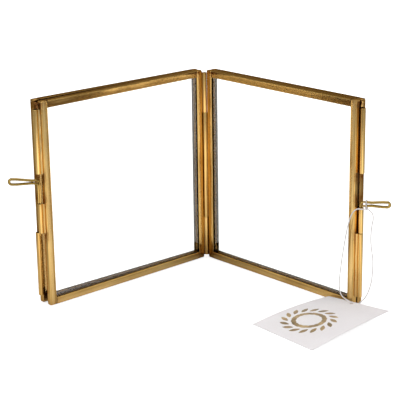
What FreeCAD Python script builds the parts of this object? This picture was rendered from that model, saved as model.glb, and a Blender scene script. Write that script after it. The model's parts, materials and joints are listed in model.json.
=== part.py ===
import FreeCAD, Part
import math
import os

from FreeCAD import Vector

# Hinged double photo frame: two square leaves of folded brass channel, joined by a spine hinge.
# Each leaf is a front and a back frame, each round its own pane, hinged together at the spine
# side and locked at the other side by a bent wire pin that slides in soldered tubes.
# A leaf is drawn with u from the spine axis outwards, v from its front face to its back, z up.

# The stand: how the leaves are set for showing two photos
fold_angle = 90.0            # between the two leaves
ajar_gap = 4.4               # between the left leaf's frames at their outer edge
latched_gap = 0.9            # the same gap once the pin is home, room for a print

# The folded brass channel of every frame
leaf_width = 136.6
leaf_height = 136.6
face_width = 4.8             # the strip seen from the front
frame_depth = 4.1            # one frame, front to back
sheet = 0.7
bend_radius = 0.55           # outside of the folded corners
face_setback = 0.25          # front faces behind the spine axis, so the closed leaves don't rub
overrun = 1.0                # how far cutting tools pass the faces that they cut

# The panes
glass_thickness = 2.2
glass_edge_gap = 0.3         # pane edge to the bottom of its channel

# Solder: tubes stand this far off the brass, on a seam
solder_gap = 0.1
solder_width = 1.7
tube_seam_width = 0.25       # the butt line along each rolled tube
tube_seam_depth = 0.2

# The spine hinge: three long knuckles on one pin
spine_radius = 1.6
spine_bore = 0.85
spine_pin_radius = 0.8
spine_inset = 2.0            # knuckles to the leaf's ends
spine_end_knuckle = 28.2
spine_knuckle_gap = 0.1
spine_pin_recess = 0.7       # pin end below the tube's mouth
plug_length = 1.0            # solder that closes the lowest knuckle of a hinge

# The hinges between a leaf's two frames, two on each leaf, out of step from leaf to leaf
leaf_hinge_radius = 1.5
leaf_hinge_bore = 0.75
leaf_hinge_pin_radius = 0.7
leaf_hinge_inset = 2.0
leaf_hinge_end_knuckle = 8.0
leaf_hinge_middle_knuckle = 13.6
leaf_hinge_gap = 0.15
leaf_hinge_step = 4.4        # between a hinge of one leaf and the next hinge of the other

# The latch tubes on the outer edge, from the bottom up
catch_radius = 1.65
catch_bore = 1.25
catch_inset = 6.3
lower_catch_length = 43.0
catch_gap = 0.3              # between the lower and the middle tube
left_middle_catch_length = 19.8
right_middle_catch_length = 17.0
handle_window = 19.8         # from the left leaf's middle tube to the upper tubes
upper_catch_inset = 5.4

# The latch pins, one wire folded double
wire_radius = 0.575
wire_sides = 12              # flats that stand for the round wire
pin_leg = 33.8               # from the middle of the handle down to the tips
pin_bend_radius = 1.0        # inner wire where it turns into the handle
pin_shoulder_radius = 2.3    # outer wire at the same turn
root_half_height = 1.42      # wire centres off the handle's middle, beside the leg
left_throat = 4.6            # leg axis to where the left handle starts to widen
left_throat_half_height = 1.0
left_loop_half_height = 1.75
left_reach = 19.9            # leg axis to the end of the loop
left_handle_turn = 0.0       # degrees forward of square to the stand
left_pin_raised = 12.0       # the left pin is drawn up by this much
right_throat = 10.4
right_throat_half_height = 0.62
right_loop_half_height = 1.5
right_reach = 18.9
right_handle_turn = 8.0
handle_seat_gap = 0.1        # handle above the middle tube when the pin is home
loop_flank = 3.0             # from the widest place of the loop to the start of its end
loop_ease_radius = 8.0

# The tag and its string
tag_width = 54.0
tag_length = 66.0
tag_thickness = 0.4
tag_turn = -3.8              # degrees from the right leaf's direction
tag_head_place = (119.0, -0.9)   # u and v of the head corner nearer the spine
tag_head_heights = (2.0, 8.0)    # the head's two corners above the table
tag_rise_shares = (0.0, 0.12, 0.34, 0.62, 1.0)   # height along the tag, as shares of the head's
tag_hole_radius = 1.3
tag_hole_share = 0.44        # across the tag
tag_hole_inset = 2.9         # from the head edge
string_radius = 0.35
string_sides = 6
knot_radius = 1.1
knot_bevel = 0.5
knot_reach = 3.6             # leg axis to the knot, along the handle
knot_gap = 0.05              # from the knot to the wires and to the string's two ends
# The string's route from the knot to the hole, under the head edge and back, as u, v and z on
# the right leaf
string_route = [
    (143.00, 6.25, 65.95), (143.30, 3.80, 65.85), (142.30, 0.95, 65.60),
    (140.60, -0.60, 65.35), (138.20, -1.60, 63.20),
    (136.20, -1.95, 59.50), (134.60, -2.05, 54.00), (133.20, -2.05, 46.50),
    (131.80, -2.10, 38.00), (130.50, -2.20, 29.50), (129.60, -2.40, 21.50),
    (129.40, -2.90, 14.50), (130.90, -3.80, 9.40), (134.20, -4.80, 7.00),
    (138.30, -5.40, 6.40), (141.60, -5.35, 5.90), (142.70, -5.00, 4.20),
    (143.10, -3.40, 2.95), (144.00, -1.35, 3.50), (145.80, -1.15, 5.40),
    (148.60, -1.55, 7.90), (151.30, -1.55, 11.20), (153.60, -0.90, 15.40),
    (154.90, 0.40, 20.80), (154.70, 2.00, 27.80), (153.50, 3.90, 35.00),
    (151.50, 5.60, 42.40), (149.30, 6.90, 50.00), (147.60, 7.30, 56.80),
    (147.40, 7.60, 61.20), (146.00, 7.50, 64.40), (143.55, 7.08, 65.70),
]
string_bend_share = 0.45     # of the shorter run beside a bend, taken by its arc

# Places worked out from the sizes above
UP = Vector(0, 0, 1)
inner_side = spine_radius + solder_gap
outer_side = inner_side + leaf_width
parting = face_setback + frame_depth
hinge_u = inner_side - solder_gap - leaf_hinge_radius
hinge_v = parting
frame_reach = outer_side - hinge_u
latched_angle = math.degrees(math.atan(latched_gap / frame_reach))
ajar_angle = math.degrees(math.atan(ajar_gap / frame_reach)) - latched_angle
catch_u = outer_side + solder_gap + catch_radius
catch_v = parting + latched_gap / 2
lower_catch_low = catch_inset
middle_catch_low = lower_catch_low + lower_catch_length + catch_gap
upper_catch_low = middle_catch_low + left_middle_catch_length + handle_window
upper_catch_length = leaf_height - upper_catch_inset - upper_catch_low
spine_middle_low = spine_inset + spine_end_knuckle + spine_knuckle_gap
spine_top_low = leaf_height - spine_inset - spine_end_knuckle
spine_middle_length = spine_top_low - spine_knuckle_gap - spine_middle_low
half_fold = fold_angle / 2


class Leaf:
    """One leaf's place on the stand: its hand says on which side of u its back lies."""

    def __init__(self, hand):
        self.hand = hand

    def point(self, u, v, z):
        return Vector(u, self.hand * v, z)

    def deep(self):
        return Vector(0, self.hand, 0)

    def turned_about_hinge(self, shape, angle):
        """Swings a back frame's piece away from the front frame by an angle."""
        moved = shape.copy()
        moved.rotate(self.point(hinge_u, hinge_v, 0), UP, self.hand * angle)
        return moved

    def placed(self, shape):
        """Turns a piece from the leaf's own axes to its place on the stand."""
        turn = -half_fold if self.hand > 0 else 180.0 + half_fold
        moved = shape.copy()
        moved.rotate(Vector(0, 0, 0), UP, turn)
        return moved


RIGHT = Leaf(1)
LEFT = Leaf(-1)


def prism(corners, start, across, deep, along, length):
    """A straight solid on a closed outline of points (across, deep)."""
    ring = [start + across * a + deep * d for a, d in corners]
    face = Part.Face(Part.makePolygon(ring + [ring[0]]))
    return face.extrude(along * length)


def folded_strip(start, across, deep, along, length):
    """The outside of the channel: a flat strip with both outer corners bent round."""

    def at(a, d):
        return start + across * a + deep * d

    slack = bend_radius * (1 - math.sqrt(0.5))
    near, far = bend_radius, frame_depth - bend_radius
    edges = [
        Part.LineSegment(at(face_width, 0), at(near, 0)),
        Part.Arc(at(near, 0), at(slack, slack), at(0, near)),
        Part.LineSegment(at(0, near), at(0, far)),
        Part.Arc(at(0, far), at(slack, frame_depth - slack), at(near, frame_depth)),
        Part.LineSegment(at(near, frame_depth), at(face_width, frame_depth)),
        Part.LineSegment(at(face_width, frame_depth), at(face_width, 0)),
    ]
    outline = Part.Wire([edge.toShape() for edge in edges])
    return Part.Face(outline).extrude(along * length)


def channel(start, across, deep, along, length, closed_ends):
    """Folded channel, open towards the pane. A stile's ends are closed by solder."""
    strip = folded_strip(start, across, deep, along, length)
    end = sheet if closed_ends else -overrun
    groove = prism(
        [(sheet, sheet), (face_width + overrun, sheet),
         (face_width + overrun, frame_depth - sheet), (sheet, frame_depth - sheet)],
        start + along * end, across, deep, along, length - 2 * end)
    return strip.cut(groove)


def frame_pieces(leaf, front_v):
    """Two stiles of full height with the two rails butted between them."""
    out = Vector(1, 0, 0)
    rail_start = inner_side + face_width
    rail_length = leaf_width - 2 * face_width
    deep = leaf.deep()
    return {
        "inner_stile": channel(
            leaf.point(inner_side, front_v, 0), out, deep, UP, leaf_height, True),
        "outer_stile": channel(
            leaf.point(outer_side, front_v, 0), -out, deep, UP, leaf_height, True),
        "top_rail": channel(
            leaf.point(rail_start, front_v, leaf_height), -UP, deep, out, rail_length, False),
        "bottom_rail": channel(
            leaf.point(rail_start, front_v, 0), UP, deep, out, rail_length, False),
    }


def pane(leaf, front_v):
    """Clear glass held in the four channels."""
    edge = sheet + glass_edge_gap
    low_v = front_v + (frame_depth - glass_thickness) / 2
    out = Vector(1, 0, 0)
    width = leaf_width - 2 * edge
    height = leaf_height - 2 * edge
    return prism([(0, 0), (width, 0), (width, glass_thickness), (0, glass_thickness)],
                 leaf.point(inner_side + edge, low_v, edge), out, leaf.deep(), UP, height)


def tube_seam(centre, low, length, radius, towards):
    """The cutter of the butt seam of a tube rolled from sheet, a shallow line on one side."""
    half = tube_seam_width / 2
    return prism([(radius - tube_seam_depth, -half), (radius + overrun, -half),
                  (radius + overrun, half), (radius - tube_seam_depth, half)],
                 Vector(centre.x, centre.y, low - overrun), towards, UP.cross(towards),
                 UP, length + 2 * overrun)


def seam_foot(leaf, side_u, edge_v, towards, centre, low, length):
    """The solder that fills the corner between a tube and the side of its frame."""
    root = leaf.point(side_u, edge_v, low)
    tip = leaf.point(side_u, edge_v + towards * solder_width, low)
    middle = Vector(centre.x, centre.y, low)
    face = Part.Face(Part.makePolygon([root, tip, middle, root]))
    return face.extrude(UP * length)


def soldered_tube(leaf, u, v, side_u, edge_v, towards, low, length, radius, bore, plug=0.0):
    """A tube with its solder foot, and the bore through both. A plug closes the lower end."""
    base = leaf.point(u, v, low)
    tube = Part.makeCylinder(radius, length, base, UP)
    body = tube.fuse(seam_foot(leaf, side_u, edge_v, towards, base, low, length))
    start = plug if plug else -overrun
    hole = Part.makeCylinder(bore, length + overrun - start, base + UP * start, UP)
    return body.cut(hole).removeSplitter()


def rolled_tube(leaf, u, v, side_u, edge_v, towards, low, length, radius, bore, plug=0.0):
    """A soldered tube in full view, with the line of its butt seam away from the leaf."""
    tube = soldered_tube(leaf, u, v, side_u, edge_v, towards, low, length, radius, bore, plug)
    away = Vector(1, 0, 0) if side_u < u else Vector(-1, 0, 0)
    return tube.cut(tube_seam(leaf.point(u, v, 0), low, length, radius, away))


def spine_knuckle(leaf, low, length, plug=0.0):
    return rolled_tube(leaf, 0, 0, inner_side, face_setback, 1, low, length,
                       spine_radius, spine_bore, plug)


def in_back_frame(u, v):
    """Where a point of the latched leaf lies on a back frame that is drawn flat on its front."""
    swing = math.radians(latched_angle)
    x, y = u - hinge_u, v - hinge_v
    return (hinge_u + x * math.cos(swing) + y * math.sin(swing),
            hinge_v + y * math.cos(swing) - x * math.sin(swing))


def catch_tube(leaf, on_back, low, length):
    """A latch tube on the outer side of the front frame, or of the back frame."""
    if on_back:
        u, v = in_back_frame(catch_u, catch_v)
        return rolled_tube(leaf, u, v, outer_side, parting, 1, low, length,
                           catch_radius, catch_bore)
    return rolled_tube(leaf, catch_u, catch_v, outer_side, parting, -1, low, length,
                       catch_radius, catch_bore)


def leaf_hinge_lows(first_low, pitch):
    """The lower ends of a leaf's two frame hinges."""
    return (first_low, first_low + pitch)


hinge_length = 2 * leaf_hinge_end_knuckle + leaf_hinge_middle_knuckle + 2 * leaf_hinge_gap
hinge_pitch = 2 * (hinge_length + leaf_hinge_step)
right_hinge_lows = leaf_hinge_lows(leaf_hinge_inset, hinge_pitch)
left_hinge_lows = leaf_hinge_lows(
    leaf_height - leaf_hinge_inset - hinge_pitch - hinge_length, hinge_pitch)


def frame_hinge(leaf, low):
    """One hinge between the frames: two end knuckles, a middle knuckle and a pin."""
    middle_low = low + leaf_hinge_end_knuckle + leaf_hinge_gap
    top_low = middle_low + leaf_hinge_middle_knuckle + leaf_hinge_gap

    def knuckle(z, length, towards, plug=0.0):
        return soldered_tube(leaf, hinge_u, hinge_v, inner_side, parting, towards, z, length,
                             leaf_hinge_radius, leaf_hinge_bore, plug)

    ends = [knuckle(low, leaf_hinge_end_knuckle, -1, plug_length),
            knuckle(top_low, leaf_hinge_end_knuckle, -1)]
    middle = knuckle(middle_low, leaf_hinge_middle_knuckle, 1)
    pin_low = low + plug_length + leaf_hinge_gap
    pin_high = low + hinge_length - leaf_hinge_gap
    pin = Part.makeCylinder(leaf_hinge_pin_radius, pin_high - pin_low,
                            leaf.point(hinge_u, hinge_v, pin_low), UP)
    return ends, middle, pin


def rounded_path(points, radii):
    """Straight runs joined by tangent arcs. Each inner point has its own radius."""
    edges = []
    here = points[0]
    for i in range(1, len(points) - 1):
        before = (points[i - 1] - points[i]).normalize()
        after = (points[i + 1] - points[i]).normalize()
        half = before.getAngle(after) / 2
        back = radii[i - 1] / math.tan(half)
        start = points[i] + before * back
        stop = points[i] + after * back
        middle_way = (before + after).normalize()
        centre = points[i] + middle_way * (radii[i - 1] / math.sin(half))
        bulge = centre - middle_way * radii[i - 1]
        if (start - here).Length > Part.Precision.confusion():
            edges.append(Part.makeLine(here, start))
        edges.append(Part.Arc(start, bulge, stop).toShape())
        here = stop
    edges.append(Part.makeLine(here, points[-1]))
    return Part.Wire(edges)


def swept_bar(path, radius, sides):
    """A wire or string along a path, as a bar with a regular section of many sides."""
    first = path.OrderedEdges[0]
    start = first.valueAt(first.FirstParameter)
    towards = first.tangentAt(first.FirstParameter).normalize()
    across = towards.cross(Vector(1, 1, 0)).normalize()
    other = towards.cross(across)
    corners = []
    for i in range(sides):
        turn = 2 * math.pi * i / sides
        corners.append(start + across * (radius * math.cos(turn))
                       + other * (radius * math.sin(turn)))
    ring = Part.makePolygon(corners + [corners[0]])
    return path.makePipeShell([ring], True, False)


def latch_pin(axis_point, outward, throat, throat_half, loop_half, reach):
    """One wire folded double: two legs side by side, bent over into a flat loop handle."""

    def at(h, z):
        return axis_point + outward * h + UP * z

    end = reach - wire_radius
    widest = end - loop_half - loop_flank
    points = [
        at(-wire_radius, -pin_leg),
        at(-wire_radius, root_half_height),
        at(throat, throat_half),
        at(widest, loop_half),
        at(end, loop_half),
        at(end, -loop_half),
        at(widest, -loop_half),
        at(throat, -throat_half),
        at(wire_radius, -root_half_height),
        at(wire_radius, -pin_leg),
    ]
    end_radius = loop_half - wire_radius / 10
    radii = [pin_shoulder_radius, loop_ease_radius, loop_ease_radius, end_radius,
             end_radius, loop_ease_radius, loop_ease_radius, pin_bend_radius]
    return swept_bar(rounded_path(points, radii), wire_radius, wire_sides)


def tag_frame():
    """The tag's head corner on the stand, and its directions along the head and to the foot."""
    turn = math.radians(tag_turn)
    along = Vector(math.cos(turn), math.sin(turn), 0)
    down = Vector(math.sin(turn), -math.cos(turn), 0)
    corner = Vector(tag_head_place[0], tag_head_place[1], 0)
    return corner, along, down


def tag_card():
    """A stiff card whose foot lies on the table, while its head is held up by the string."""
    corner, along, down = tag_frame()
    near, far = tag_head_heights
    sections = []
    steps = len(tag_rise_shares) - 1
    for i, rise in enumerate(tag_rise_shares):
        edge = corner + down * (tag_length * (1 - i / steps))
        low = edge + UP * (near * rise)
        high = edge + along * tag_width + UP * (far * rise)
        sections.append(Part.makePolygon(
            [low, high, high + UP * tag_thickness, low + UP * tag_thickness, low]))
    card = Part.makeLoft(sections, True, True)
    hole_at = corner + along * (tag_width * tag_hole_share) + down * tag_hole_inset
    hole = Part.makeCylinder(tag_hole_radius, 2 * far, hole_at, UP)
    return card.cut(hole)


def tag_string_shape():
    """The string along its route, with an arc at each point as large as its runs allow."""
    points = [RIGHT.point(*place) for place in string_route]
    radii = []
    for before, here, after in zip(points, points[1:], points[2:]):
        turn = math.pi - (before - here).getAngle(after - here)
        shorter = min((before - here).Length, (after - here).Length)
        radii.append(string_bend_share * shorter / math.tan(turn / 2))
    print("string radii", [round(radius, 1) for radius in radii])
    path = rounded_path(points, radii)
    string = swept_bar(path, string_radius, string_sides)
    section = string_sides / 2 * string_radius ** 2 * math.sin(2 * math.pi / string_sides)
    print("string length", round(path.Length, 1), "volume over section times length",
          round(string.Volume / (section * path.Length), 4))
    return string


def knot_bead(axis_point, outward, radius):
    """The knot's body under the handle's lower wire: a short cylinder with bevelled rims."""
    drop = root_half_height + wire_radius + knot_gap + knot_radius
    foot = axis_point + outward * knot_reach - UP * (drop + radius)
    narrow = radius - knot_bevel
    bead = Part.makeCone(narrow, radius, knot_bevel, foot, UP)
    bead = bead.fuse(Part.makeCylinder(radius, 2 * narrow, foot + UP * knot_bevel, UP))
    return bead.fuse(
        Part.makeCone(radius, narrow, knot_bevel, foot + UP * (radius + narrow), UP))


def tag_knot(axis_point, outward):
    """The knot under the handle's root, with the turn of string that goes round both wires."""
    sideways = UP.cross(outward)
    inner = wire_radius + knot_gap
    outer = inner + 2 * string_radius
    start = axis_point + outward * (knot_reach - string_radius)

    def band(half_width):
        """A flat-sided ring blank, rounded over the upper and under the lower wire."""
        straight = prism([(-half_width, -root_half_height), (half_width, -root_half_height),
                          (half_width, root_half_height), (-half_width, root_half_height)],
                         start, sideways, UP, outward, 2 * string_radius)
        for side in (-1, 1):
            straight = straight.fuse(Part.makeCylinder(
                half_width, 2 * string_radius, start + UP * (side * root_half_height), outward))
        return straight

    bead = knot_bead(axis_point, outward, knot_radius)
    return band(outer).fuse(bead).cut(band(inner)).removeSplitter()


def handle_direction(side, turn):
    """Outward along the stand's width, turned towards the viewer, in the stand's axes."""
    swing = math.radians(turn)
    return Vector(side * math.cos(swing), -math.sin(swing), 0)


def leaf_nodes(name, leaf, back_angle):
    """The frames, panes and hinge knuckles of one leaf, each with the body that carries it."""
    nodes = {}
    for frame, front_v in (("front", face_setback), ("back", parting)):
        pieces = frame_pieces(leaf, front_v)
        pieces["glass"] = pane(leaf, front_v)
        for piece, shape in pieces.items():
            if frame == "back":
                shape = leaf.turned_about_hinge(shape, back_angle)
            nodes[f"{name}_{frame}_{piece}"] = leaf.placed(shape)
    ends, middles, pins = [], [], []
    for low in (left_hinge_lows if leaf is LEFT else right_hinge_lows):
        hinge_ends, middle, pin = frame_hinge(leaf, low)
        ends += [leaf.placed(end) for end in hinge_ends]
        middles.append(leaf.placed(leaf.turned_about_hinge(middle, back_angle)))
        pins.append(leaf.placed(pin))
    nodes[f"{name}_frame_hinge_end_knuckles"] = Part.makeCompound(ends)
    nodes[f"{name}_frame_hinge_middle_knuckles"] = Part.makeCompound(middles)
    nodes[f"{name}_frame_hinge_pins"] = Part.makeCompound(pins)
    return nodes


def catch_nodes(name, leaf, upper_on_back, middle_length, back_angle):
    """The three latch tubes: upper and middle on one frame, lower on the other."""
    tubes = {
        "upper_catch_tube": (upper_on_back, upper_catch_low, upper_catch_length),
        "middle_catch_tube": (upper_on_back, middle_catch_low, middle_length),
        "lower_catch_tube": (not upper_on_back, lower_catch_low, lower_catch_length),
    }
    nodes = {}
    for tube, (on_back, low, length) in tubes.items():
        shape = catch_tube(leaf, on_back, low, length)
        if on_back:
            shape = leaf.turned_about_hinge(shape, back_angle)
        nodes[f"{name}_{tube}"] = leaf.placed(shape)
    return nodes


def handle_rest(middle_length):
    """Height of the middle of a handle whose pin is home, its bend on the middle tube's rim."""
    drop = root_half_height + pin_bend_radius
    return middle_catch_low + middle_length + handle_seat_gap + drop


def build():
    nodes = {}
    nodes.update(leaf_nodes("left", LEFT, latched_angle + ajar_angle))
    nodes.update(leaf_nodes("right", RIGHT, latched_angle))
    nodes.update(catch_nodes(
        "left", LEFT, False, left_middle_catch_length, latched_angle + ajar_angle))
    nodes.update(catch_nodes("right", RIGHT, True, right_middle_catch_length, latched_angle))

    nodes["spine_bottom_knuckle"] = LEFT.placed(
        spine_knuckle(LEFT, spine_inset, spine_end_knuckle, plug_length))
    nodes["spine_middle_knuckle"] = RIGHT.placed(
        spine_knuckle(RIGHT, spine_middle_low, spine_middle_length))
    nodes["spine_top_knuckle"] = LEFT.placed(
        spine_knuckle(LEFT, spine_top_low, spine_end_knuckle))
    pin_low = spine_inset + plug_length + spine_knuckle_gap
    pin_high = leaf_height - spine_inset - spine_pin_recess
    nodes["spine_pin"] = Part.makeCylinder(
        spine_pin_radius, pin_high - pin_low, Vector(0, 0, pin_low), UP)

    left_axis = LEFT.placed(Part.Vertex(LEFT.point(catch_u, catch_v, 0))).Point
    left_height = handle_rest(left_middle_catch_length) + left_pin_raised
    left_out = handle_direction(-1, left_handle_turn)
    nodes["left_latch_pin"] = latch_pin(
        left_axis + UP * left_height, left_out, left_throat,
        left_throat_half_height, left_loop_half_height, left_reach)

    right_axis = RIGHT.placed(Part.Vertex(RIGHT.point(catch_u, catch_v, 0))).Point
    right_height = handle_rest(right_middle_catch_length)
    right_out = handle_direction(1, right_handle_turn)
    right_middle = right_axis + UP * right_height
    nodes["right_latch_pin"] = latch_pin(
        right_middle, right_out, right_throat,
        right_throat_half_height, right_loop_half_height, right_reach)

    nodes["swing_tag"] = RIGHT.placed(tag_card())
    nodes["tag_knot"] = tag_knot(right_middle, right_out)
    string = RIGHT.placed(tag_string_shape())
    nodes["tag_string"] = string.cut(
        knot_bead(right_middle, right_out, knot_radius + knot_gap))

    print("handle heights", round(left_height, 2), round(right_height, 2))
    print("left pin travel", round(-left_pin_raised, 2),
          round(upper_catch_low - handle_seat_gap - left_height - root_half_height
                - wire_radius, 2))
    print("right pin travel", round(upper_catch_low - handle_seat_gap - right_height
                                    - root_half_height - wire_radius, 2))
    return nodes


def centred(nodes):
    """Moves the origin from the spine's foot to the middle of the stand's footprint."""
    box = FreeCAD.BoundBox()
    for name, shape in nodes.items():
        if not name.startswith(("tag_", "swing_tag")):
            box.add(shape.optimalBoundingBox())
    shift = Vector(-box.Center.x, -box.Center.y, -box.ZMin)
    moved = {}
    for name, shape in nodes.items():
        moved[name] = shape.copy()
        moved[name].translate(shift)
    return moved, shift


os.makedirs("parts", exist_ok=True)
stand, shift = centred(build())
for node, solid in stand.items():
    solid.exportStep(f"parts/{node}.step")

left_hinge = LEFT.placed(Part.Vertex(LEFT.point(hinge_u, hinge_v, 0))).Point
print("spine axis", shift)
print("left frame hinge axis", left_hinge + shift)
print("ajar angle", round(ajar_angle, 3), "latched angle", round(latched_angle, 3))
print("nodes", len(stand), "solids", sum(len(solid.Solids) for solid in stand.values()))
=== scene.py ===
import json
import math

import bpy
import numpy as np
from mathutils import Matrix


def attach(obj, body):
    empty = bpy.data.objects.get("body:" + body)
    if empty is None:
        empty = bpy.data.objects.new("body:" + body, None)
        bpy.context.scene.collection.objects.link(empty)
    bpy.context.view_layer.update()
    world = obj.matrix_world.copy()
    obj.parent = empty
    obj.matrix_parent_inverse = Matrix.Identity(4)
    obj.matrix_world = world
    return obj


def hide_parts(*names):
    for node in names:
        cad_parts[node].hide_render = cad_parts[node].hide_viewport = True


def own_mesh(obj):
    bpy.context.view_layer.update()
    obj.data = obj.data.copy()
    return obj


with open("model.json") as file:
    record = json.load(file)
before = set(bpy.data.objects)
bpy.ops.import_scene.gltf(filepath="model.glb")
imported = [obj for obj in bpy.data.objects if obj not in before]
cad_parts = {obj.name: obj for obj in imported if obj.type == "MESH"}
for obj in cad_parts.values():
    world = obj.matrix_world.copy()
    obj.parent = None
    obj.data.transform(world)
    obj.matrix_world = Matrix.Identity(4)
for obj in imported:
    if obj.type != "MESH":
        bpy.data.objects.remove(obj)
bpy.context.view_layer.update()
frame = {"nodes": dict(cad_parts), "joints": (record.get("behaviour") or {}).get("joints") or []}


# ---- The view ----
# The stand is seen from 0.97 m in front of its spine and a little above, looking down by 17
# degrees. The camera was fitted to the outer corners of both leaves.
fold = next(joint for joint in frame["joints"] if joint["name"] == "spine_fold")
spine_foot = np.array(fold["pos_m"])
looking = np.array([-0.04504, 0.95514, -0.29271])
level = np.cross(looking, (0.0, 0.0, 1.0))
level /= np.linalg.norm(level)
rising = np.cross(level, looking)
roll = math.radians(-0.85)
to_right = level * math.cos(roll) + rising * math.sin(roll)
to_top = rising * math.cos(roll) - level * math.sin(roll)
view = bpy.data.objects.new("view", bpy.data.cameras.new("view"))
view.data.sensor_width = 36.0
view.data.lens = 121.2
view.data.clip_end = 50.0
eye = spine_foot + np.array([0.03884, -0.91388, 0.32251])
view.matrix_world = Matrix([[*row, place] for row, place in zip(
    np.stack([to_right, to_top, -looking], 1), eye)] + [[0, 0, 0, 1]])
bpy.context.scene.collection.objects.link(view)
bpy.context.scene.camera = view


# ---- The tag's string ----
# Two-ply white cotton, 0.7 mm thick. It runs from the knot under the right handle down in
# front of the leaf, through the tag's hole, and back up outside the leaf to the knot.
MM = 0.001
STRING_RADIUS = 0.35
PLY_TURN, PLY_DEPTH = 2.6, 0.14


def on_leaf(places, hand):
    """Measures on a leaf, u from the spine, v from front to back and z up in millimetres, as
    points of the stand: the leaf is turned by 45 degrees, and hand is 1 on the right."""
    u, v, z = np.moveaxis(np.asarray(places, float), -1, 0)
    share = math.sqrt(0.5)
    turned = np.stack([hand * share * (u + v), share * (v - u), z], -1)
    return spine_foot + MM * turned


def frames_along(path, first_side=None):
    """The direction of a path at each point and two directions across it that turn with it and
    don't spin: the spin of a fixed guess is summed along the path and taken off again."""
    ahead = np.gradient(path, axis=0)
    ahead /= np.linalg.norm(ahead, axis=1, keepdims=True)
    guess = np.array([0.31, 0.83, -0.46]) if first_side is None else np.asarray(first_side)
    side = np.cross(ahead, guess)
    side /= np.linalg.norm(side, axis=1, keepdims=True)
    carried = side[:-1] - ahead[1:] * np.sum(side[:-1] * ahead[1:], 1, keepdims=True)
    spin = np.arctan2(np.sum(np.cross(carried, side[1:]) * ahead[1:], 1),
                      np.sum(carried * side[1:], 1))
    back = -np.concatenate([[0.0], np.cumsum(spin)])[:, None]
    other = np.cross(ahead, side)
    return ahead, side * np.cos(back) + other * np.sin(back), (
        other * np.cos(back) - side * np.sin(back))


def round_bar(path, radius, sides, first_side=None, lobes=0, lobe_depth=0.0, twist=0.0,
              end_length=0.5):
    """Rings of points round a path. The radius, one for all or one for each point, is taken times
    1 + depth x cos(lobes x (angle - twist x distance)), and follows a quarter circle over each
    rounded end."""
    ahead, side, other = frames_along(path, first_side)
    steps = np.linalg.norm(np.diff(path, axis=0), axis=1)
    along = np.concatenate([[0.0], np.cumsum(steps)]) / MM
    angle = np.linspace(0, 2 * np.pi, sides, endpoint=False)[None, :]
    wave = 1 + lobe_depth * np.cos(lobes * (angle - twist * along[:, None]))
    near = np.minimum(along, along[-1] - along)
    dome = np.sqrt(np.clip(1 - (1 - np.clip(near / end_length, 0.002, 1)) ** 2, 0.003, 1))
    reach = MM * np.reshape(radius, (-1, 1)) * wave * dome[:, None]
    return (path[:, None] + side[:, None] * (reach * np.cos(angle))[..., None]
            + other[:, None] * (reach * np.sin(angle))[..., None])


def twisted(path, radius, sides):
    """A shell of two-ply string: each ply makes a turn in 2.6 mm, which shows as two lobes
    winding round the line."""
    return round_bar(path, radius, sides, lobes=2, lobe_depth=PLY_DEPTH,
                     twist=2 * math.pi / PLY_TURN), None, False


def mesh_piece(name, shells, body, finish, sharp=35.0, lay_start=0.0):
    """One object made of closed shells. A shell is (rings, marks, looped): rings of points that
    are joined in order, with a face over each end ring, or the last ring joined to the first.
    The map lay holds millimetres round a ring and along the rings."""
    points, faces, lay, marks = [], [], [], []
    base = 0
    for rings, mark, looped in shells:
        n, m = rings.shape[:2]
        closed = np.concatenate([rings, rings[:1]], 0) if looped else rings
        wide = np.concatenate([closed, closed[:, :1]], 1) / MM
        around = np.linalg.norm(np.diff(wide, axis=1), axis=2).mean(0)
        around = np.concatenate([[0.0], np.cumsum(around)])
        onward = np.linalg.norm(np.diff(wide, axis=0), axis=2).mean(1)
        onward = lay_start + np.concatenate([[0.0], np.cumsum(onward)])
        i, j = np.meshgrid(np.arange(len(closed) - 1), np.arange(m), indexing="ij")
        i, j = i.ravel(), j.ravel()
        nexti, nextj = (i + 1) % n, (j + 1) % m
        quads = np.stack([i * m + j, i * m + nextj, nexti * m + nextj, nexti * m + j], 1)
        spots = np.stack([around[[j, j + 1, j + 1, j]].T, onward[[i, i, i + 1, i + 1]].T], 2)
        flat = rings.reshape(-1, 3) - rings.reshape(-1, 3).mean(0)
        corner = flat[quads]
        volume = np.sum(np.cross(corner[:, 0], corner[:, 1]) * corner[:, 2])
        volume += np.sum(np.cross(corner[:, 0], corner[:, 2]) * corner[:, 3])
        if volume < 0:
            quads, spots = quads[:, ::-1], spots[:, ::-1]
        faces += (quads + base).tolist()
        lay.append(spots.reshape(-1, 2))
        if not looped:
            first, last = np.arange(m)[::-1], np.arange(m) + (n - 1) * m
            if volume < 0:
                first, last = first[::-1], last[::-1]
            faces += [(first + base).tolist(), (last + base).tolist()]
            lay.append(np.full((m, 2), onward[0]))
            lay.append(np.full((m, 2), onward[-1]))
        points.append(rings.reshape(-1, 3))
        marks.append(np.zeros((n * m, 4)) if mark is None else
                     np.broadcast_to(mark, (n, m, 4)).reshape(-1, 4))
        base += n * m
    mesh = bpy.data.meshes.new(name)
    mesh.from_pydata(np.concatenate(points).tolist(), [], faces)
    mesh.uv_layers.new(name="lay").uv.foreach_set(
        "vector", np.concatenate(lay).astype(np.float32).ravel())
    mesh.attributes.new("marks", "FLOAT_COLOR", "POINT").data.foreach_set(
        "color", np.concatenate(marks).astype(np.float32).ravel())
    mesh.shade_smooth()
    mesh.set_sharp_from_angle(angle=math.radians(sharp))
    mesh.materials.append(finish)
    piece = bpy.data.objects.new(name, mesh)
    bpy.context.scene.collection.objects.link(piece)
    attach(piece, body)
    return piece


def new_finish(name, **sockets):
    """A material whose shader's sockets take these constant values."""
    finish = bpy.data.materials.new(name)
    finish.use_nodes = True
    shader = finish.node_tree.nodes["Principled BSDF"]
    for socket, value in sockets.items():
        shader.inputs[socket.replace("_", " ")].default_value = value
    return finish, shader


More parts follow.
